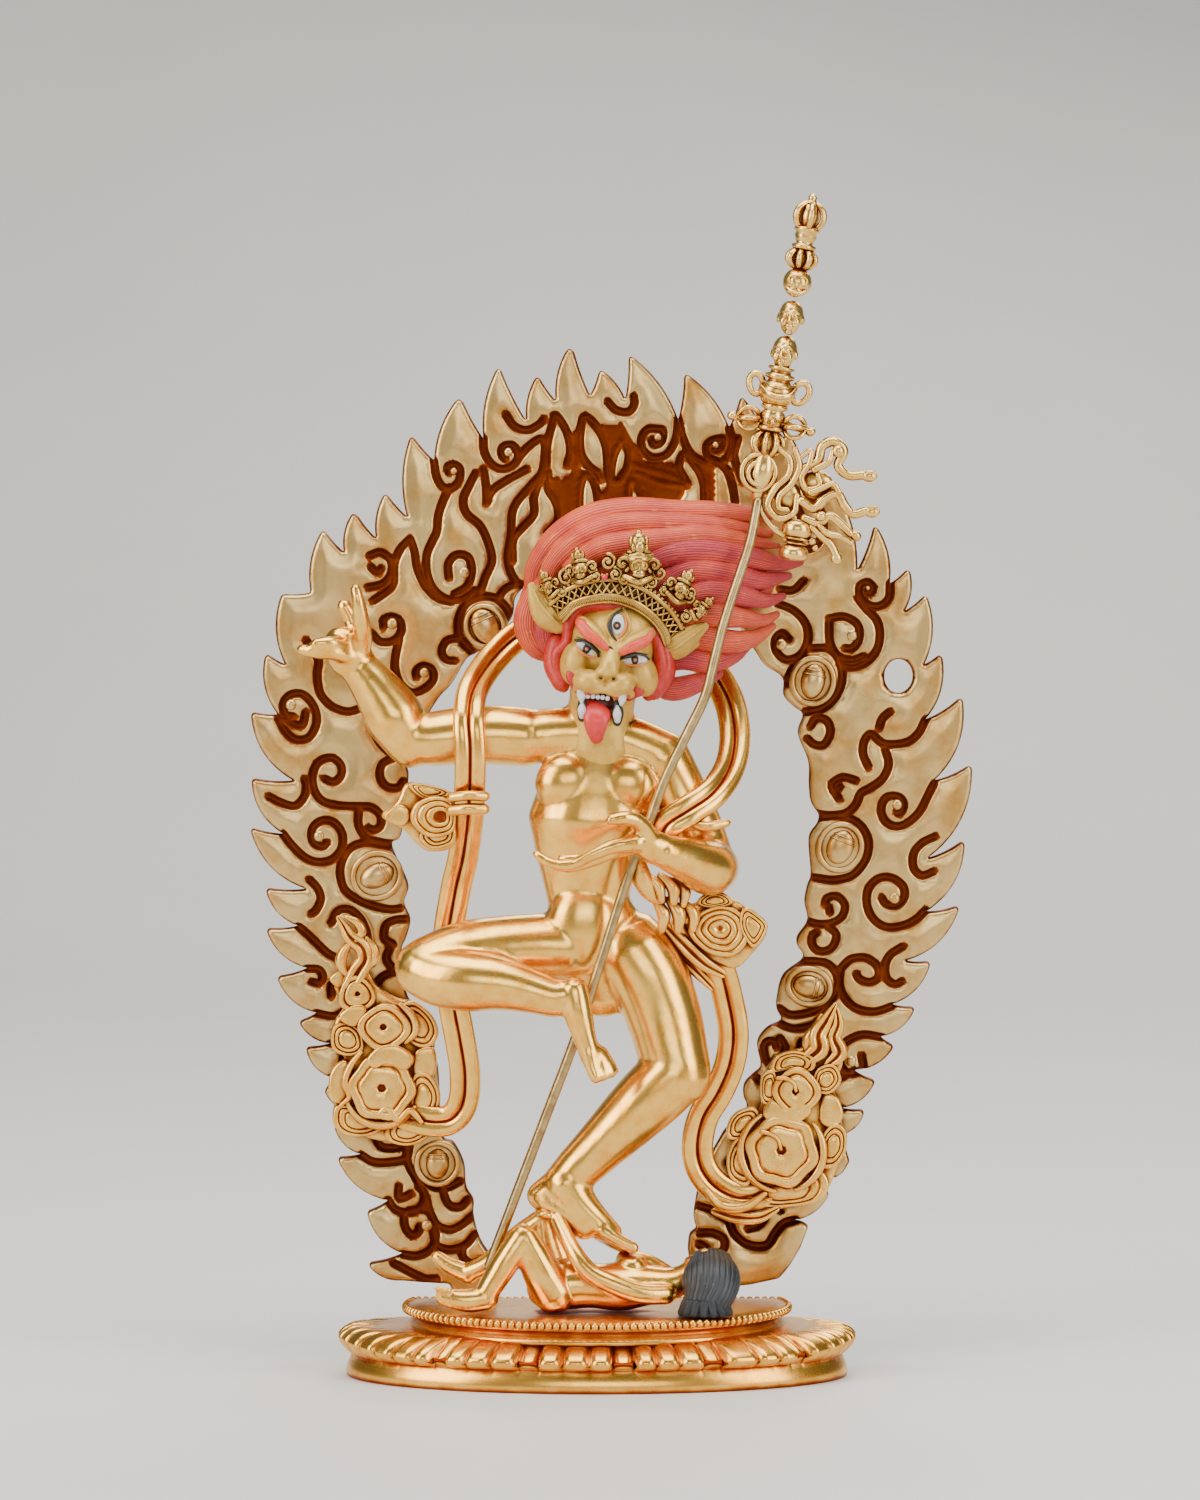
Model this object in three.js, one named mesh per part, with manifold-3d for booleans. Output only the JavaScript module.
// A gilt lion-faced dancing figure on a corpse and a lotus base, with scarf, staff and flame ring.
// Millimetres. +X is the viewer's right, +Y the back, +Z up. The origin is under the base's middle.
import * as THREE from 'three';
import { mergeVertices } from 'three/addons/utils/BufferGeometryUtils.js';
import Module from 'manifold-3d';

const wasm = await Module();
wasm.setup();

const point = (x, y, z) => new THREE.Vector3(x, y, z);

// Clearance between pieces that touch, and how near two corners are to be one
const GAP = 0.3;
const WELD = 1e-4;

// How finely round forms are faceted
const LIMB_SIDES = 6;
const CAP_STEPS = 2;
const EGG_SIDES = 7;
const EGG_RINGS = 5;
const SMALL_SIDES = 5;
const SMALL_RINGS = 3;

// The base: half width and half depth of the petal ring, and the heights of its steps
const RING_HALF_WIDTH = 48.6;
const RING_HALF_DEPTH = 27.3;
const FLANGE_HALF_WIDTH = 46.6;
const FLANGE_TOP = 4.5;
const PETAL_HEIGHT = 6.7;
const RING_TOP = 9.2;
const SLAB_BOTTOM = 11;
const SLAB_TOP = 13;
const SLAB_HALF_WIDTH = 36.3;
const SLAB_FRONT = -24;
const SLAB_BACK = 12;
const SLAB_MIDDLE = 4;
const WAIST_INSET = 1.8;
const PETAL_CLUSTERS = 13;
const LOBES_PER_PETAL = 3;

// The flame ring is a flat plate whose front and back lie at these depths. Two tabs at its feet reach
// down behind the slab, and one round hole goes through it.
const PLATE_FRONT = 14;
const PLATE_BACK = 17;
const RELIEF_FRONT = 13;
const TAB_BOTTOM = 10.6;
const TAB_ROOT = 16;
const LEFT_TAB = [-28, -20];
const RIGHT_TAB = [18, 25];
const RING_HOLE = [56.6, 130.4];
const RING_HOLE_RADIUS = 2.8;

// Joints of the dancing body
const NECK = point(0.5, -1, 121);
const CHEST = point(-0.5, -2, 110);
const WAIST = point(-2, -2, 90);
const HIPS = point(0.5, -1.5, 81);
const RIGHT_SHOULDER = point(-13.5, -2, 119.5);
const RIGHT_ELBOW = point(-36, -3, 119.6);
const RIGHT_WRIST = point(-44.3, -3, 132.6);
const RIGHT_HAND = point(-47, -3, 138);
const LEFT_SHOULDER = point(12.5, -1.5, 116);
const LEFT_ELBOW = point(21.6, -4, 95.6);
const LEFT_WRIST = point(12.6, -17.4, 99);
const LEFT_PALM = point(8.5, -19, 101);
const RIGHT_HIP = point(-7, -2.5, 81);
const RIGHT_KNEE = point(-31, -8, 76.8);
const RIGHT_ANKLE = point(-8.6, -14.5, 72.2);
const RIGHT_TOES = point(0.4, -16, 58.5);
const LEFT_HIP = point(8.5, -1.5, 81);
const LEFT_KNEE = point(16.2, -5.5, 57.2);
const LEFT_ANKLE = point(-4.2, -5, 38.6);
const LEFT_HEEL = point(-10.6, -4.5, 34.2);
const LEFT_TOES = point(7.4, -8, 25.2);
const HEAD = point(2.8, -3.5, 136);

// The chopping knife is a flat plate between these depths
const BLADE_FRONT = -9;
const BLADE_BACK = -6.2;

// The skull cup in the left hand
const CUP_CENTRE = point(-4.9, -21, 106.4);
const CUP_RADIUS = 7.2;
const CUP_DEPTH = 7.4;

// The staff: where its rod starts, bends and ends, how thick it is and how far its stack leans
const STAFF_POINTS = [
  point(-20.1, -8.6, 21.5),
  point(-4.2, -10.6, 63.6),
  point(5.5, -11.5, 93.7),
  point(12.2, -11.6, 111.6),
  point(19.4, -10.4, 126.6),
  point(23.7, -9.2, 141.6),
  point(28.1, -7.6, 155),
  point(29.8, -6.6, 163.5),
];
const ROD_RADIUS = 0.95;
const STACK_DEPTH = -6;
const STACK_FOOT = point(30.1, STACK_DEPTH, 166);
const STACK_TIP = point(39.9, STACK_DEPTH, 219.8);

// The scarf's section, how thick the plates of its rolled ends are and how far their bosses stand out
const SCARF_WIDTH = 5.8;
const SCARF_THICKNESS = 1.8;
const ROLL_THICKNESS = 2.2;
const BOSS_HEIGHT = 3;

// Turns a closed geometry into a solid that can be joined and cut.
function solid(geometry) {
  geometry.deleteAttribute('normal');
  geometry.deleteAttribute('uv');
  const welded = mergeVertices(geometry, WELD);
  const corners = welded.index.array;
  const triangles = [];
  for (let i = 0; i < corners.length; i += 3) {
    const [a, b, c] = [corners[i], corners[i + 1], corners[i + 2]];
    if (a !== b && b !== c && c !== a) triangles.push(a, b, c);
  }
  return new wasm.Manifold(new wasm.Mesh({
    numProp: 3,
    vertProperties: Float32Array.from(welded.attributes.position.array),
    triVerts: Uint32Array.from(triangles),
  }));
}

function join(...pieces) {
  return pieces.flat(Infinity).reduce((sum, piece) => sum.add(piece));
}

// Turns a geometry made round the Y axis so that this axis runs from one point towards another.
function aim(geometry, from, to) {
  const direction = to.clone().sub(from).normalize();
  const turn = new THREE.Quaternion().setFromUnitVectors(point(0, 1, 0), direction);
  geometry.applyQuaternion(turn);
  geometry.translate(from.x, from.y, from.z);
  return geometry;
}

// A tapered limb with round ends.
function limb(from, to, startRadius, endRadius, sides = LIMB_SIDES, capSteps = CAP_STEPS) {
  const length = from.distanceTo(to);
  const profile = [];
  for (let step = 0; step <= capSteps; step += 1) {
    const angle = (step / capSteps - 1) * Math.PI / 2;
    profile.push(new THREE.Vector2(startRadius * Math.cos(angle), startRadius * Math.sin(angle)));
  }
  for (let step = 0; step <= capSteps; step += 1) {
    const angle = step / capSteps * Math.PI / 2;
    profile.push(new THREE.Vector2(endRadius * Math.cos(angle), length + endRadius * Math.sin(angle)));
  }
  return solid(aim(new THREE.LatheGeometry(profile, sides), from, to));
}

// One smooth bent form through some points, with a radius at each of them. Depth is the section's
// front-to-back size as a share of its width.
function bent(points, radii, sides = LIMB_SIDES, stepsPerSpan = 1, depth = 1) {
  const spans = points.length - 1;
  const rings = spans * stepsPerSpan;
  const path = new THREE.CatmullRomCurve3(points);
  const sizes = new THREE.SplineCurve(radii.map((radius, i) => new THREE.Vector2(i, radius)));
  const geometry = new THREE.CylinderGeometry(1, 1, 1, sides, rings);
  const corners = geometry.attributes.position;
  for (let i = 0; i < corners.count; i += 1) {
    const along = Math.min(Math.max(corners.getY(i) + 0.5, 0), 1);
    const centre = path.getPoint(along);
    const direction = path.getTangent(along);
    const side = point(direction.z, 0, -direction.x).normalize();
    const deep = side.clone().cross(direction).multiplyScalar(depth);
    const size = sizes.getPoint(along).y;
    centre.addScaledVector(side, corners.getX(i) * size);
    centre.addScaledVector(deep, corners.getZ(i) * size);
    corners.setXYZ(i, centre.x, centre.y, centre.z);
  }
  return solid(geometry);
}

// An egg shape, leaned by some degrees in the plane that faces the viewer.
function egg(centre, radii, lean = 0, sides = EGG_SIDES, rings = EGG_RINGS) {
  const geometry = new THREE.SphereGeometry(1, sides, rings);
  geometry.scale(radii.x, radii.y, radii.z);
  geometry.rotateY(-THREE.MathUtils.degToRad(lean));
  geometry.translate(centre.x, centre.y, centre.z);
  return solid(geometry);
}

// A turned shape. The profile is a list of [radius, height along the axis].
function turned(profile, from, to, sides = LIMB_SIDES) {
  const points = profile.map(([radius, height]) => new THREE.Vector2(radius, height));
  return solid(aim(new THREE.LatheGeometry(points, sides), from, to));
}

// A flat plate that faces the viewer. The outline is a list of points in X and Z.
function plate(outline, front, back) {
  const shape = new THREE.Shape(outline);
  const geometry = new THREE.ExtrudeGeometry(shape, { depth: back - front, bevelEnabled: false });
  geometry.rotateX(Math.PI / 2);
  geometry.translate(0, back, 0);
  return solid(geometry);
}

// A flat level plate. The outline is a list of points in X and Y.
function slab(outline, bottom, top) {
  const shape = new THREE.Shape(outline);
  const geometry = new THREE.ExtrudeGeometry(shape, { depth: top - bottom, bevelEnabled: false });
  geometry.translate(0, 0, bottom);
  return solid(geometry);
}

// A ribbon with a groove down its middle that follows a curve and faces the viewer.
function ribbon(points, width, thickness, steps) {
  const half = width / 2;
  const deep = thickness / 2;
  const section = new THREE.Shape([
    new THREE.Vector2(-deep, -half),
    new THREE.Vector2(deep, -half * 0.8),
    new THREE.Vector2(deep * 0.4, 0),
    new THREE.Vector2(deep, half * 0.8),
    new THREE.Vector2(-deep, half),
  ]);
  const path = new THREE.CatmullRomCurve3(points);
  return solid(new THREE.ExtrudeGeometry(section, { steps, extrudePath: path, bevelEnabled: false }));
}

// The D-shaped outline of the slab: a half oval with a straight back.
function slabOutline(inset) {
  const outline = [];
  const halfWidth = SLAB_HALF_WIDTH - inset;
  const reach = SLAB_MIDDLE - SLAB_FRONT - inset;
  const back = SLAB_BACK - inset;
  const backAngle = Math.asin((back - SLAB_MIDDLE) / reach);
  const steps = 20;
  for (let step = 0; step <= steps; step += 1) {
    const angle = backAngle - step / steps * (Math.PI + 2 * backAngle);
    outline.push(new THREE.Vector2(halfWidth * Math.cos(angle), SLAB_MIDDLE + reach * Math.sin(angle)));
  }
  return outline.reverse();
}

// The petal ring's outline: each petal is three round lobes, with a deeper notch after the third.
function petalOutline(halfWidth, halfDepth) {
  const outline = [];
  const lobes = PETAL_CLUSTERS * LOBES_PER_PETAL;
  for (let lobe = 0; lobe < lobes; lobe += 1) {
    for (const [part, notch] of [[0, lobe % LOBES_PER_PETAL === 0 ? 1.8 : 1], [0.5, 0]]) {
      const angle = (lobe + part - LOBES_PER_PETAL / 2) / lobes * 2 * Math.PI - Math.PI / 2;
      outline.push(new THREE.Vector2(
        (halfWidth - notch) * Math.cos(angle), (halfDepth - notch) * Math.sin(angle),
      ));
    }
  }
  return outline;
}

function lotusBase() {
  const profile = [
    [0, 0],
    [FLANGE_HALF_WIDTH, 0],
    [FLANGE_HALF_WIDTH + 0.6, FLANGE_TOP],
    [RING_HALF_WIDTH - 6, FLANGE_TOP + 0.4],
    [0, FLANGE_TOP + 0.4],
  ].map(([radius, height]) => new THREE.Vector2(radius, height));
  const flange = new THREE.LatheGeometry(profile, 32);
  flange.rotateX(Math.PI / 2);
  flange.scale(1, RING_HALF_DEPTH / RING_HALF_WIDTH, 1);
  const bulge = (RING_TOP - FLANGE_TOP) / 2 - 0.4;
  const petals = new THREE.ExtrudeGeometry(
    new THREE.Shape(petalOutline(RING_HALF_WIDTH - bulge, RING_HALF_DEPTH - bulge)),
    { depth: 0.8, bevelThickness: bulge, bevelSize: bulge, bevelSegments: 1 },
  );
  petals.translate(0, 0, PETAL_HEIGHT - 0.4);
  const waist = slab(slabOutline(WAIST_INSET), RING_TOP - 1, SLAB_BOTTOM + 0.5);
  return join(solid(flange), solid(petals), waist, slab(slabOutline(0), SLAB_BOTTOM, SLAB_TOP));
}

// Tips of the flames, from the left foot over the top to the right foot, in X and Z
const FLAME_TIPS = [
  [-43.6, 18.6], [-43.8, 28.8], [-49.3, 39], [-51.9, 51.8], [-55.3, 59.9], [-56.6, 64.8],
  [-60.7, 73.3], [-62.7, 82.4], [-62.8, 90], [-65.6, 101.5], [-65.4, 110.9], [-65.4, 123.5],
  [-62.5, 134.6], [-59.5, 146], [-51.7, 158], [-46.2, 161.3], [-40, 164.9], [-35, 175.7],
  [-26, 182.9], [-18.6, 188.6], [-11.3, 187], [-5.2, 192.4], [0.6, 188.2], [6.1, 190.8],
  [16.6, 187.4], [27.2, 183.1], [35.5, 176], [43.5, 167], [52.5, 158.8], [58.9, 150.6],
  [62.1, 145.7], [65, 134.5], [69, 126.3], [70.8, 113.5], [69.5, 99.1], [68.6, 86.7],
  [63.2, 76.2], [60.3, 67.5], [56.4, 60.3], [52.9, 53.6], [50.8, 48], [48.1, 37.9],
  [44.2, 32.3], [40.1, 26],
];

// The line on which the notches between the flames lie, and the ring's inner edge
const FLAME_ROOTS = [
  [-33, 16], [-36.8, 20.7], [-44.6, 39.6], [-50.3, 60.7], [-55.6, 83], [-58.6, 105], [-59.5, 128],
  [-55, 144], [-45, 155.5], [-33, 165.5], [-17, 176.5], [0, 182], [15.3, 178.6], [26, 175],
  [44, 158], [56, 145], [61.7, 130], [62.8, 110], [61, 86], [55.2, 68.1], [48.6, 55.6],
  [43.5, 35], [37, 26], [29, 15.5],
];
const RING_INSIDE = [
  [17.4, 18], [18.3, 28], [24, 44], [28.5, 52], [30.8, 60], [34.5, 68], [38, 78], [39.6, 88],
  [41, 100], [40, 112], [38, 123], [33, 133], [22, 146], [6, 152], [-11, 148], [-22.8, 135],
  [-31, 124], [-36, 112], [-38, 99], [-36, 85], [-35.5, 71], [-30.8, 60], [-29.4, 44],
  [-25, 36], [-23, 26], [-19.5, 18],
];

function curveThrough(pairs) {
  return new THREE.SplineCurve(pairs.map(([x, z]) => new THREE.Vector2(x, z)));
}

// Each flame rises from a notch, swells at a shoulder and ends in its tip. The flames sweep up, so
// at the sides a notch lies level with the flame below it, and at the top midway.
function flameOutline() {
  const roots = curveThrough(FLAME_ROOTS).getPoints(400);
  const nearestRoot = (target) => roots.reduce(
    (best, root) => (root.distanceTo(target) < best.distanceTo(target) ? root : best),
  );
  const tips = FLAME_TIPS.map(([x, z]) => new THREE.Vector2(x, z));
  const outline = [roots[0]];
  tips.forEach((tip, index) => {
    const next = tips[index + 1];
    const overTop = THREE.MathUtils.smoothstep(index / tips.length, 0.3, 0.65);
    const share = THREE.MathUtils.lerp(0.12, 0.95, overTop);
    const before = outline[outline.length - 1];
    const after = next ? nearestRoot(tip.clone().lerp(next, share)) : roots[roots.length - 1];
    const away = tip.clone().sub(before.clone().add(after).multiplyScalar(0.5)).multiplyScalar(0.12);
    const leftSide = index < tips.length / 2;
    const shoulder = (leftSide ? before : after).clone().lerp(tip, 0.5).add(away);
    if (leftSide) outline.push(shoulder, tip, after);
    else outline.push(tip, shoulder, after);
  });
  return outline;
}

// Oval gems in the ring: centre, half size, lean
const RING_GEMS = [
  [-30.2, 38, 4.6, 0], [-41.4, 92.7, 5.6, -20], [-21.1, 140.1, 4.6, 30],
  [40.9, 129.5, 5.2, 20], [45.3, 98, 5.6, 10], [40, 71.6, 5.2, -20],
];

// Raised curls on the ring: centre, radius, lean
const RING_CURLS = [
  [-33.8, 26.2, 2.8, 0], [-51.5, 100.1, 3, 0], [-50.5, 112.1, 3.3, 0], [-57.5, 123.7, 2.8, 0],
  [-25.8, 150.3, 3.4, 0], [-16.9, 171.7, 2.6, 0], [11.2, 173.5, 2.9, 0], [46.5, 137.2, 3.3, 0],
  [56.1, 104.5, 3.2, 0], [54.8, 88.5, 4, 0],
];

function flameAureole() {
  const inside = curveThrough(RING_INSIDE).getPoints(52);
  const tab = ([left, right]) => [
    [right, TAB_ROOT], [right, TAB_BOTTOM], [left, TAB_BOTTOM], [left, TAB_ROOT],
  ].map(([x, z]) => new THREE.Vector2(x, z));
  const outline = [...flameOutline(), ...tab(RIGHT_TAB), ...inside, ...tab(LEFT_TAB)];
  const relief = PLATE_FRONT - RELIEF_FRONT;
  const bosses = (list, height) => list.map(([x, z, half, lean]) => egg(
    point(x, PLATE_FRONT, z), point(half, height, half), lean, EGG_SIDES, SMALL_RINGS,
  ));
  const hole = new THREE.CylinderGeometry(
    RING_HOLE_RADIUS, RING_HOLE_RADIUS, 3 * (PLATE_BACK - PLATE_FRONT), 8,
  );
  hole.translate(RING_HOLE[0], PLATE_FRONT, RING_HOLE[1]);
  return join(
    plate(outline, PLATE_FRONT, PLATE_BACK),
    bosses(RING_GEMS, relief + 0.2),
    bosses(RING_CURLS, relief),
  ).subtract(solid(hole));
}

// The corpse lies on its back with raised knees. Its hair falls forward on the slab.
function corpse() {
  const hip = point(-3.5, -7, 18);
  const neck = point(17, -8, 18.6);
  const nearKnee = point(-12.9, -12.4, 27.6);
  const farKnee = point(-9.2, -2.6, 30.2);
  const body = bent([point(-10, -8.5, 16.6), hip, point(6, -7.5, 18), neck], [3, 5, 4.4, 3]);
  const nearLeg = [
    bent([point(-8.6, -10.6, 15), nearKnee.clone().lerp(hip, 0.2), nearKnee], [3, 3, 2.7], SMALL_SIDES),
    bent([nearKnee.clone().add(point(0.8, 0, 1.4)), point(-21.4, -13.5, 16.4)], [2.7, 1.8], SMALL_SIDES),
    limb(point(-20.6, -13.5, 15.4), point(-27.8, -13.8, 16.8), 2, 1.8, SMALL_SIDES, 1),
  ];
  const farShin = [farKnee.clone().add(point(0.8, 0, 1)), point(-17, 0, 25.6), point(-24, 1.5, 18.6)];
  const farLeg = [
    bent([hip, farKnee], [3.6, 2.6], SMALL_SIDES),
    bent(farShin, [2.5, 2, 1.7], SMALL_SIDES),
    limb(point(-24, 1.5, 19), point(-34, 3.5, 22.4), 1.8, 1.4, SMALL_SIDES, 1),
  ];
  const armRoute = [point(12.6, -12, 18.4), point(6, -13.2, 20.6), point(13.2, -14.6, 16.2)];
  const arm = bent(armRoute, [1.9, 1.9, 1.5], SMALL_SIDES);
  const head = egg(point(20.4, -8.4, 20), point(5.2, 4.6, 4.4));
  const hair = limb(point(20.6, -10.5, 18.6), point(20.6, -15.6, 14.4), 5, 4.6);
  const below = new THREE.BoxGeometry(4 * RING_HALF_WIDTH, 4 * RING_HALF_WIDTH, SLAB_TOP + GAP);
  below.translate(0, 0, (SLAB_TOP + GAP) / 2);
  return join(body, nearLeg, farLeg, arm, head, hair)
    .subtract(solid(below))
    .subtract(standingFoot(GAP));
}

// The foot that stands on the corpse. It is made again, a little larger, to clear the corpse.
function standingFoot(grow) {
  const instep = point(-3.4, -6, 33.4);
  const longer = LEFT_TOES.clone().sub(LEFT_HEEL).setLength(grow);
  const heel = LEFT_HEEL.clone().sub(longer);
  const toes = LEFT_TOES.clone().add(longer);
  return join(
    bent([heel, instep, toes], [2.8 + grow, 4.2 + grow, 1.8 + grow], LIMB_SIDES, 2),
    limb(LEFT_ANKLE, instep, 4.3 + grow, 2.6 + grow, SMALL_SIDES, 1),
  );
}

function torso() {
  const shoulderLine = RIGHT_SHOULDER.clone().lerp(LEFT_SHOULDER, 0.5);
  return join(
    bent(
      [HIPS.clone().add(point(1.5, 0, -6)), HIPS, WAIST, CHEST, shoulderLine, NECK, HEAD],
      [5, 9, 7.4, 11.4, 9, 5.4, 5],
      10,
      1,
      0.66,
    ),
    bent([RIGHT_SHOULDER, LEFT_SHOULDER], [5.2, 4.8]),
  );
}

// A ring of round section on a limb.
function limbRing(radius, thickness, from, to) {
  const ring = new THREE.TorusGeometry(radius, thickness, 4, LIMB_SIDES);
  ring.rotateX(Math.PI / 2);
  return solid(aim(ring, from, to));
}

// The raised right arm with its bracelet.
function knifeArm() {
  return join(
    bent(
      [RIGHT_SHOULDER, point(-25, -2.6, 119.6), RIGHT_ELBOW, RIGHT_WRIST, RIGHT_HAND, point(-48, -5, 142)],
      [5.8, 5.6, 5.4, 3.7, 4.4, 2.6],
    ),
    limbRing(4.1, 0.9, RIGHT_WRIST, RIGHT_HAND),
  );
}

// A crescent chopping knife with a curled handle on its straight back.
function choppingKnife() {
  const blade = new THREE.Shape();
  blade.moveTo(-61.2, 151.2);
  blade.quadraticCurveTo(-60.5, 139, -50, 137.2);
  blade.quadraticCurveTo(-45.5, 136.8, -41.6, 141.2);
  blade.lineTo(-42.6, 146);
  blade.lineTo(-53, 146.4);
  blade.quadraticCurveTo(-57.5, 149, -61.2, 151.2);
  const handle = [
    egg(point(-48.4, -8, 147.6), point(6, 2.2, 2.6), 0, SMALL_SIDES, SMALL_RINGS),
    egg(point(-46.6, -7.4, 152), point(4.6, 2.4, 3.2), 0, SMALL_SIDES, SMALL_RINGS),
    egg(point(-43.4, -7.4, 150), point(2.6, 2.2, 5), 0, SMALL_SIDES, SMALL_RINGS),
  ];
  return join(plate(blade.getPoints(5), BLADE_FRONT, BLADE_BACK), handle);
}

// The left arm, its hand under the skull cup, with the thumb on the rim.
function cupArm() {
  const fingerRoot = point(6.5, -20, 100.6);
  const fingers = bent(
    [fingerRoot, point(1.5, -18.8, 99.7), point(-4.5, -18.8, 97.6), point(-10.4, -18.4, 99.2)],
    [1.9, 1.5, 1.3, 0.9],
    SMALL_SIDES,
    1,
    2,
  );
  return join(
    bent([LEFT_SHOULDER, point(17, -2.4, 106), LEFT_ELBOW], [5, 5, 5]),
    limb(LEFT_ELBOW, LEFT_WRIST, 5.2, 3.2),
    bent([LEFT_WRIST, LEFT_PALM, point(5, -19.6, 100.8)], [3, 3, 2]),
    bent([LEFT_PALM, point(6.5, -22, 103.8), point(2.2, -23.4, 105.6)], [2.2, 1.5, 1.1], SMALL_SIDES),
    fingers,
    limbRing(4, 0.9, LEFT_WRIST, LEFT_ELBOW),
  );
}

function skullCup() {
  const profile = [
    [0, -CUP_DEPTH],
    [CUP_RADIUS * 0.55, -CUP_DEPTH * 0.85],
    [CUP_RADIUS * 0.9, -CUP_DEPTH * 0.5],
    [CUP_RADIUS, 0],
    [CUP_RADIUS * 0.9, 1],
    [CUP_RADIUS * 0.6, 2.2],
    [0, 2.8],
  ];
  return turned(profile, CUP_CENTRE, CUP_CENTRE.clone().add(point(0, 0, 1)), 12);
}

// The folded right leg and the hanging foot.
function raisedLeg() {
  const kneecap = point(-34.6, -9, 76);
  const heel = point(-2.4, -14.6, 73.4);
  const thigh = [RIGHT_HIP, point(-18, -4.6, 79.4), RIGHT_KNEE, kneecap];
  const calf = [kneecap, RIGHT_KNEE, point(-20, -11.6, 74.6), RIGHT_ANKLE, heel];
  const foot = [point(-3.6, -15, 75), point(-3.2, -15.2, 69), point(-1.6, -15.6, 62.4), RIGHT_TOES];
  return join(
    bent(thigh, [5.8, 6, 6.6, 4]),
    bent(calf, [3.6, 6.6, 5.4, 3.3, 2.4]),
    bent(foot, [2, 2.8, 2.4, 1.6]),
    limb(point(-2.2, -15.6, 60), point(2.2, -16.6, 58.6), 1.6, 1.5, SMALL_SIDES, 1),
  );
}

function standingLeg() {
  return join(
    bent([LEFT_HIP, point(13, -3.4, 69), LEFT_KNEE, point(17.6, -5.5, 53)], [7.4, 7.4, 6, 3.6]),
    bent([point(18, -5.5, 58.4), LEFT_KNEE.clone().lerp(LEFT_ANKLE, 0.4), LEFT_ANKLE], [4.4, 5.6, 4.2]),
    limbRing(4.8, 0.9, LEFT_ANKLE.clone().lerp(LEFT_KNEE, 0.06), LEFT_KNEE),
    standingFoot(0),
  );
}

// The lion's head: skull, brow, muzzle, open jaw, tongue and ears.
function lionHead() {
  return join(
    egg(HEAD, point(8.6, 7.6, 9.4), -8),
    egg(point(3.3, -8.6, 139.6), point(6.8, 3.6, 4.2), -8, SMALL_SIDES, SMALL_RINGS),
    egg(point(2, -9.6, 130.4), point(5.6, 5, 4.6), -8),
    bent([point(1, -9.6, 127.6), point(0.4, -12, 124), point(0, -11, 120.4)], [3.6, 2.6, 1.2], SMALL_SIDES),
    egg(point(-9.4, -3.5, 144), point(2.4, 1.6, 5.6), 28, SMALL_SIDES, SMALL_RINGS),
    egg(point(16.2, -3.5, 138.6), point(2.4, 1.6, 5.6), -56, SMALL_SIDES, SMALL_RINGS),
  );
}

// Swept-back hair: a side lobe at the left, the crown of the hair, and locks that fly to the right.
function flyingHair() {
  const lockStarts = [159.6, 154, 147.5, 141.5];
  const lockEnds = [[34.5, 157.6], [37.6, 152.4], [35.4, 146.6], [31, 138.4]];
  const locks = lockEnds.map(([x, z], index) => {
    const root = point(8, 2, lockStarts[index]);
    const tip = point(x, 0, z);
    const bow = root.clone().lerp(tip, 0.5).add(point(1, 0, 1.6));
    return bent([root, bow, tip], [4.6, 4.2, 1.4], SMALL_SIDES);
  });
  return join(
    egg(point(4, 1.5, 148), point(14.5, 8, 14), -10),
    bent([point(-9, 0.5, 150), point(-12.4, 0.5, 142), point(-9.6, 0.5, 133.6)], [3.4, 4.4, 2]),
    bent([point(12, 0, 137), point(15, 0, 131), point(21.6, 0.5, 129.4)], [5, 4.6, 1.6]),
    locks,
  );
}

// A five-leaved crown: a band round the brow and leaves that carry small skulls.
function crown() {
  const band = [[-9, 142], [-5.4, 146.8], [3, 149], [12.4, 145.2], [17, 139.8]];
  const bandDepth = [-6, -8.4, -9.8, -8, -5];
  const leaves = [[-9, 148.6, 3.2], [-2.6, 152, 3.8], [7.6, 153.2, 4.4], [14.4, 149, 3.6], [18.4, 144, 2.9]];
  const leafDepth = [-6.5, -9.5, -10.5, -9, -6];
  return join(
    bent(band.map(([x, z], i) => point(x, bandDepth[i], z)), [2, 2.8, 3, 2.8, 2], SMALL_SIDES, 2),
    leaves.map(([x, z, half], i) => egg(
      point(x, leafDepth[i], z), point(half * 0.9, 1.8, half), 0, SMALL_SIDES, SMALL_RINGS,
    )),
    egg(point(8, -10.2, 156), point(1.9, 1.5, 2.2), 0, SMALL_SIDES, SMALL_RINGS),
  );
}

// Small severed heads hang on the garland, and the skirt's paws hang below two of them.
const GARLAND_HEADS = [
  [-16.4, -6.8, 119.4, 2.9], [-14.9, -8.4, 100.2, 2.6], [-15.6, -6.2, 65.6, 2.6],
  [12.8, -12, 79.2, 2.9], [9.9, -13, 61, 2.7],
];

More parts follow.
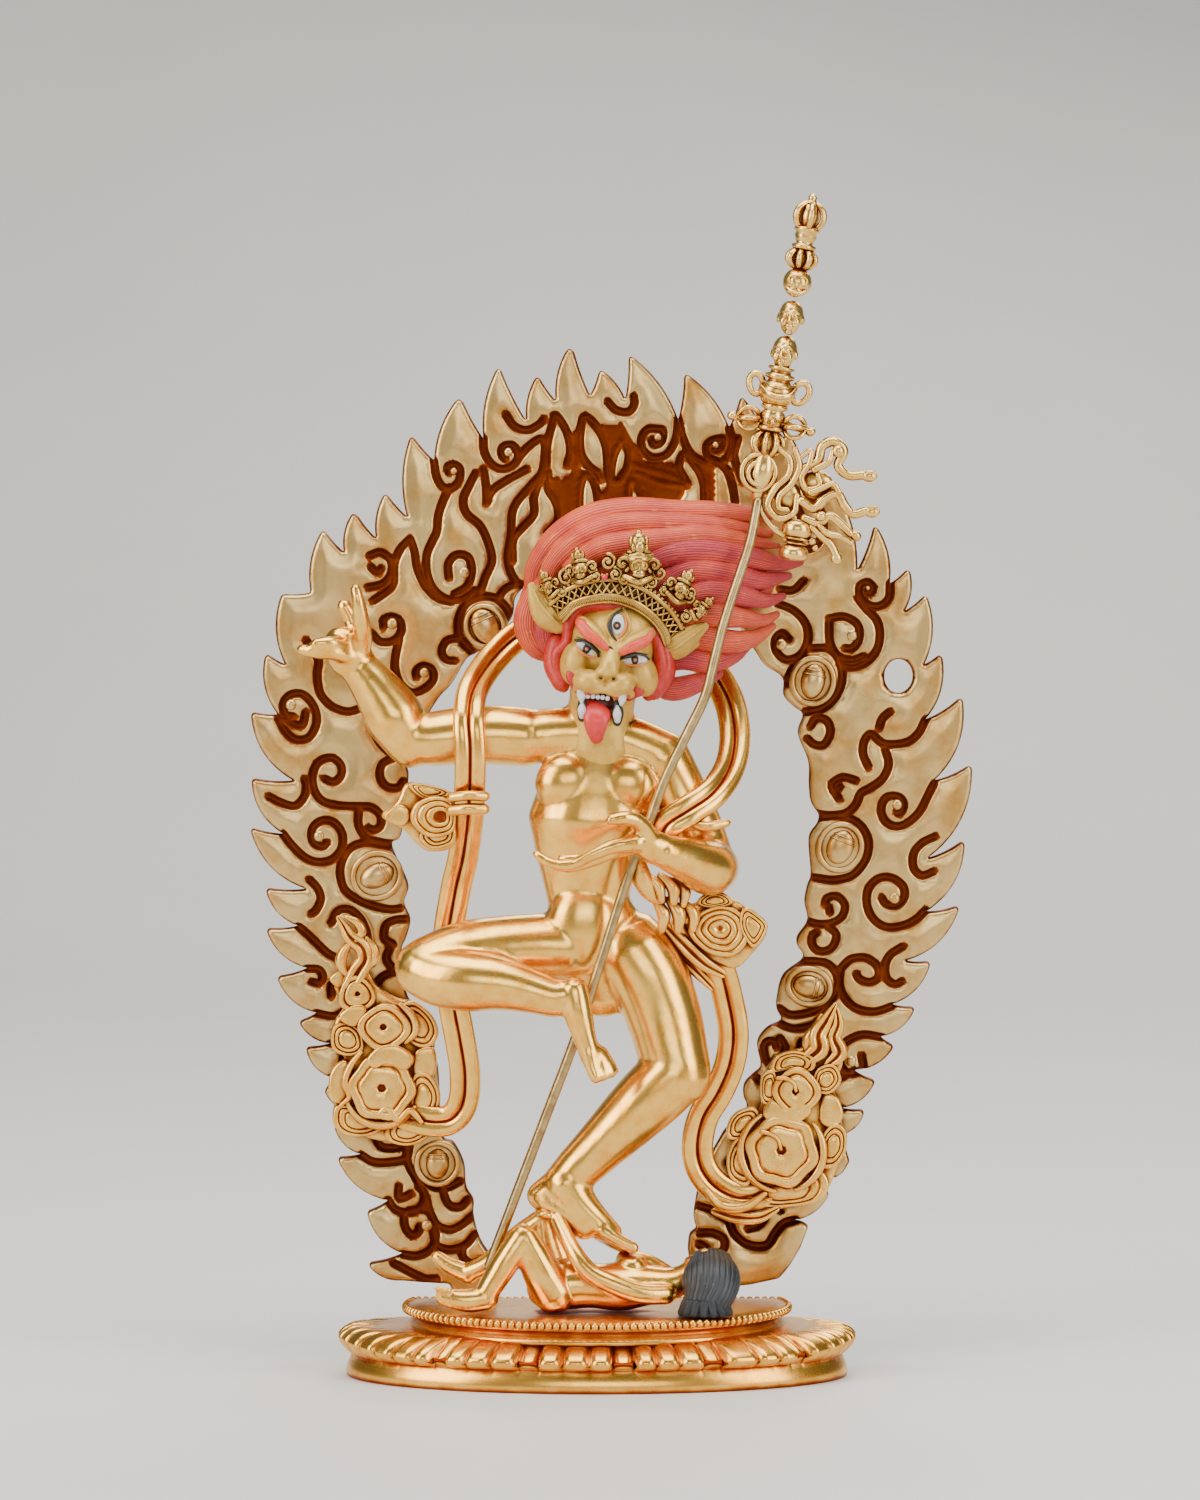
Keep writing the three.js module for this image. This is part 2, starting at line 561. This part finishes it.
function garland() {
  const heads = GARLAND_HEADS.map(([x, y, z, half]) => egg(
    point(x, y, z), point(half * 0.9, half * 0.9, half * 1.35),
  ));
  const longRope = [
    point(-14.5, -5.4, 121), point(-15.6, -6.6, 108), point(-14.6, -7, 98), point(-12.2, -6.6, 90),
    point(-11, -4.4, 78),
  ];
  const calfStrap = [point(-3.4, -3, 69), point(-14.6, -5.4, 65), point(-16.6, -4.4, 59)];
  return join(
    heads,
    bent(longRope, [2, 1.7, 1.5, 1.4, 2], SMALL_SIDES),
    bent(
      [point(10.2, -6.4, 117), point(8, -7.6, 107), point(4.9, -7, 96), point(8.4, -6.2, 84)],
      [1.6, 1.6, 1.6, 1.6],
      SMALL_SIDES,
    ),
    bent(
      [point(9, -5, 86), point(12.2, -8.6, 79), point(12.6, -8.6, 72), point(10, -10.4, 58)],
      [2, 2, 1.6, 1.6],
      SMALL_SIDES,
    ),
    egg(point(-17.6, -5, 58.8), point(4, 2, 3.4), 10, SMALL_SIDES, SMALL_RINGS),
    egg(point(9.4, -11.6, 56.4), point(3.8, 2.4, 3), 0, SMALL_SIDES, SMALL_RINGS),
    bent(calfStrap, [3.2, 2.4, 2.2], SMALL_SIDES),
  );
}

// The tiger-skin skirt: over the left hip, between the legs, round the right thigh, and its tail.
function skirt() {
  const hip = [point(7.5, -3.6, 86), point(7.6, -5.6, 76), point(8.4, -6.4, 66)];
  const front = [point(4.6, -3, 74), point(-2, -3, 62), point(-2.4, -3, 50.5)];
  const hem = [point(-18.5, -3.4, 83.4), point(-13, -3, 82.6), point(-8, -2.5, 81.6)];
  const tail = [point(11, 1.5, 58), point(7.8, 1.5, 43), point(8.8, 1.5, 36.2)];
  return join(
    bent(hip, [6, 7.2, 4.6], LIMB_SIDES, 1, 0.7),
    bent(front, [7, 7.4, 2.6], LIMB_SIDES, 1, 0.6),
    bent(hem, [4.2, 5.4, 6], LIMB_SIDES, 1, 0.9),
    bent(tail, [3.2, 2.2, 0.7], SMALL_SIDES),
  );
}

// A beaded collar with a pendant point, and the beaded belt loop that hangs below the cup.
function necklaces() {
  const beltLoop = [[-9, -9.2, 99], [-7.6, -9.6, 93], [-2.4, -10, 89.6], [2.6, -9.8, 92.4], [4.4, -9, 97]];
  const collar = [[-9, -6.4, 121], [-4, -8.6, 116.4], [1.5, -9.2, 113.6], [6, -8.4, 116.8], [9, -6, 120.4]];
  return join([beltLoop, collar].map((run) => bent(
    run.map((corner) => point(...corner)), run.map(() => 1.5), SMALL_SIDES,
  )));
}

function lionFacedDakini() {
  return join(
    torso(), knifeArm(), choppingKnife(), cupArm(), skullCup(), raisedLeg(), standingLeg(),
    lionHead(), flyingHair(), crown(), garland(), skirt(), necklaces(),
  );
}

// One long scarf: from the left roll up over the right arm, behind the head, and over the left
// elbow to the right roll. It runs clear of the body everywhere.
const SCARF_ROUTE = [
  point(-33, 8, 47.6), point(-28, 7.6, 47.2), point(-25, 6.6, 51.5), point(-25.4, 4.6, 60),
  point(-27, 3.6, 70), point(-28, 4.4, 80), point(-26.6, 3, 92), point(-24, -5, 104),
  point(-23.2, -11.2, 114), point(-23.4, -11.4, 122), point(-23.2, -4.4, 129.4),
  point(-18.8, 6, 134.8), point(-11, 11, 139), point(2, 11.6, 141), point(15, 11, 137.5),
  point(23, 7, 130.6), point(25.9, 3.2, 122), point(24.8, -3, 114), point(20.2, -9.6, 108),
  point(12.9, -9.7, 104), point(9.8, -8.7, 98),
];
const SCARF_FALL = [
  point(11.8, -7.2, 91), point(15.6, -5.6, 87.6), point(20.8, -1.2, 84), point(23.8, 3.6, 76),
  point(25.6, 6, 68), point(26, 6.4, 61), point(24, 7, 53.6), point(20, 7.6, 46.6), point(19, 8, 40),
  point(22.4, 8.4, 34.6), point(29, 8.8, 32),
];

// A rolled end: a stepped boss on a plate with a scalloped rim, seen from the front.
function rosette(centre, radius, scallops, lean) {
  const rim = [];
  const steps = scallops * 2;
  for (let step = 0; step < steps; step += 1) {
    const angle = step / steps * 2 * Math.PI;
    const reach = radius * (1 + 0.07 * Math.cos(scallops * angle + lean));
    rim.push(new THREE.Vector2(centre.x + reach * Math.cos(angle), centre.z + reach * Math.sin(angle)));
  }
  const boss = [
    [0, -1],
    [radius * 0.74, -1],
    [radius * 0.76, BOSS_HEIGHT * 0.4],
    [radius * 0.5, BOSS_HEIGHT * 0.55],
    [radius * 0.42, BOSS_HEIGHT * 0.95],
    [0, BOSS_HEIGHT],
  ];
  const towardsViewer = centre.clone().add(point(0, -1, 0));
  return join(plate(rim, centre.y, centre.y + ROLL_THICKNESS), turned(boss, centre, towardsViewer));
}

function longScarf() {
  const bow = [
    egg(point(-28.6, -7, 105.6), point(3.4, 2.6, 3), 0, SMALL_SIDES, SMALL_RINGS),
    egg(point(-33.6, -5.6, 106), point(5.6, 2.6, 5.4)),
    egg(point(-31, -5.4, 100.6), point(3.6, 2, 2.8), 0, SMALL_SIDES, SMALL_RINGS),
  ];
  const fan = [
    [16, 83], [19.6, 78.6], [25.6, 78], [30.6, 82.6], [31.6, 85.4], [27, 88.2], [23.5, 89.4], [16, 88.2],
  ];
  const elbowKnot = [
    egg(point(10.8, -7.4, 94), point(2.8, 2.4, 5.4), 6, SMALL_SIDES, SMALL_RINGS),
    bent([point(11.4, -6.6, 92), point(14.4, -5.4, 89), point(20, -2, 86.4)], [2.2, 2.4, 2], SMALL_SIDES),
    plate(fan.map(([x, z]) => new THREE.Vector2(x, z)), -3, 1),
  ];
  const leftTail = [point(-45.4, 9.8, 73), point(-47, 9.8, 79), point(-47.6, 9.8, 84.8)];
  const leftHem = [point(-31, 9.4, 48.4), point(-33, 9.4, 45.6), point(-38, 9.8, 43.6)];
  const leftEnd = [
    rosette(point(-40.4, 9, 52.8), 9, 6, 0),
    rosette(point(-40.4, 8.6, 64), 7.4, 5, 1),
    rosette(point(-44.6, 8.8, 72), 4.8, 5, 2),
    bent(leftTail, [2.4, 2, 0.8], SMALL_SIDES),
    bent(leftHem, [2.6, 2.6, 1.2], SMALL_SIDES),
  ];
  const rightTail = [point(43, 9.8, 46), point(43.6, 9.8, 58), point(44.8, 9.8, 69)];
  const rightHem = [point(22.4, 9, 33), point(27, 9.4, 30.4), point(34, 9.6, 30.6)];
  const rightEnd = [
    rosette(point(34.8, 9, 40.6), 9.8, 6, 1),
    rosette(point(38, 8.6, 52.4), 6.4, 5, 0),
    bent(rightTail, [2.6, 2.6, 0.9], SMALL_SIDES),
    bent(rightHem, [2.2, 2.4, 1.8], SMALL_SIDES),
  ];
  return join(
    ribbon(SCARF_ROUTE, SCARF_WIDTH, SCARF_THICKNESS, 25),
    ribbon(SCARF_FALL, SCARF_WIDTH, SCARF_THICKNESS, 12),
    bow, elbowKnot, leftEnd, rightEnd,
  );
}

// The stack on the staff, from its foot to its tip: radius and height of each turned stage
const STACK_PROFILE = [
  [0, 0], [2, 1], [2.6, 5.2], [1.5, 6.6], [3.5, 10], [3.4, 13], [2.2, 14.6],
  [3.2, 17.6], [2.4, 19.8], [2.8, 20.8], [1.8, 21.8], [3.2, 25], [1.6, 28.4],
  [3.3, 32], [1.7, 35.2], [3.1, 38.6], [2, 41.4], [2.7, 43.4], [1.8, 46.6],
  [2.7, 50.4], [1, 53.6], [0, 54.7],
];

function khatvangaStaff() {
  const rod = bent(STAFF_POINTS, STAFF_POINTS.map(() => ROD_RADIUS), SMALL_SIDES + 1);
  const stack = turned(STACK_PROFILE, STACK_FOOT, STACK_TIP);
  const at = (x, z) => point(x, STACK_DEPTH, z);
  const crossed = limb(at(26, 178.6), at(39.2, 176.2), 0.9, 1, SMALL_SIDES, 1);
  const crossedDeep = limb(
    at(32.6, 177.4).add(point(0, -6, 0)), at(32.6, 177.4).add(point(0, 6, 0)), 0.9, 0.9, SMALL_SIDES, 1,
  );
  const prongs = [at(29.4, 178), at(36, 176.8)].map(
    (centre) => egg(centre, point(2.4, 2.6, 2.4), 0, SMALL_SIDES, SMALL_RINGS),
  );
  const handles = [[28.9, 184.4, 1.7], [37.2, 184.2, 2]].map(([x, z, half]) => {
    const ringShape = new THREE.TorusGeometry(half, 0.7, 4, 6);
    ringShape.rotateX(Math.PI / 2);
    ringShape.translate(x, STACK_DEPTH, z);
    return solid(ringShape);
  });
  const curls = [[30, 168.6, 3.8], [35, 164.6, 3.8], [41, 166.8, 4.2]].map(([x, z, half]) => egg(
    at(x, z), point(half, 1.8, half), 0, EGG_SIDES, SMALL_RINGS,
  ));
  const ribbonEnds = [
    [40, 169, 44.4, 172], [42.6, 168, 49.6, 168], [42, 162.6, 50.6, 161.6], [41.6, 160, 47.8, 157],
    [40.6, 163, 44, 154.8],
  ].map(([x, z, tipX, tipZ]) => limb(at(x, z), at(tipX, tipZ), 2.3, 1.4, SMALL_SIDES, 1));
  const drumProfile = [
    [0, 0], [2.6, 0], [2.8, 1.2], [1.5, 3.4], [1.5, 4.2], [2.8, 6.4], [2.6, 7.6], [0, 7.6],
  ];
  const drum = turned(drumProfile, at(36.6, 152.2), at(38, 160));
  const wireRoute = [at(29.6, 163.5), at(31.6, 158.8), at(36, 155.8)];
  const drumWire = bent(wireRoute, [0.7, 0.7, 0.7], SMALL_SIDES);
  return join(rod, stack, crossed, crossedDeep, prongs, handles, curls, ribbonEnds, drum, drumWire);
}

// Joined solid to named mesh
function namedMesh(name, shape, color, roughness, metalness) {
  const { numProp, vertProperties, triVerts } = shape.getMesh();
  const positions = new Float32Array(triVerts.length * 3);
  triVerts.forEach((vertex, corner) => {
    for (let axis = 0; axis < 3; axis += 1) {
      positions[corner * 3 + axis] = vertProperties[vertex * numProp + axis];
    }
  });
  const geometry = new THREE.BufferGeometry();
  geometry.setAttribute('position', new THREE.BufferAttribute(positions, 3));
  const mesh = new THREE.Mesh(geometry, new THREE.MeshStandardMaterial({ color, roughness, metalness }));
  mesh.name = name;
  return mesh;
}

const group = new THREE.Group();
group.add(
  namedMesh('lotus_base', lotusBase(), 0xd69a3c, 0.4, 1),
  namedMesh('flame_aureole', flameAureole(), 0xb8985a, 0.42, 1),
  namedMesh('corpse', corpse(), 0xd9a146, 0.35, 1),
  namedMesh('lion_faced_dakini', lionFacedDakini(), 0xe8b24a, 0.3, 1),
  namedMesh('long_scarf', longScarf(), 0xdcaa4c, 0.35, 1),
  namedMesh('khatvanga_staff', khatvangaStaff(), 0xb59a62, 0.4, 1),
);

export default group;
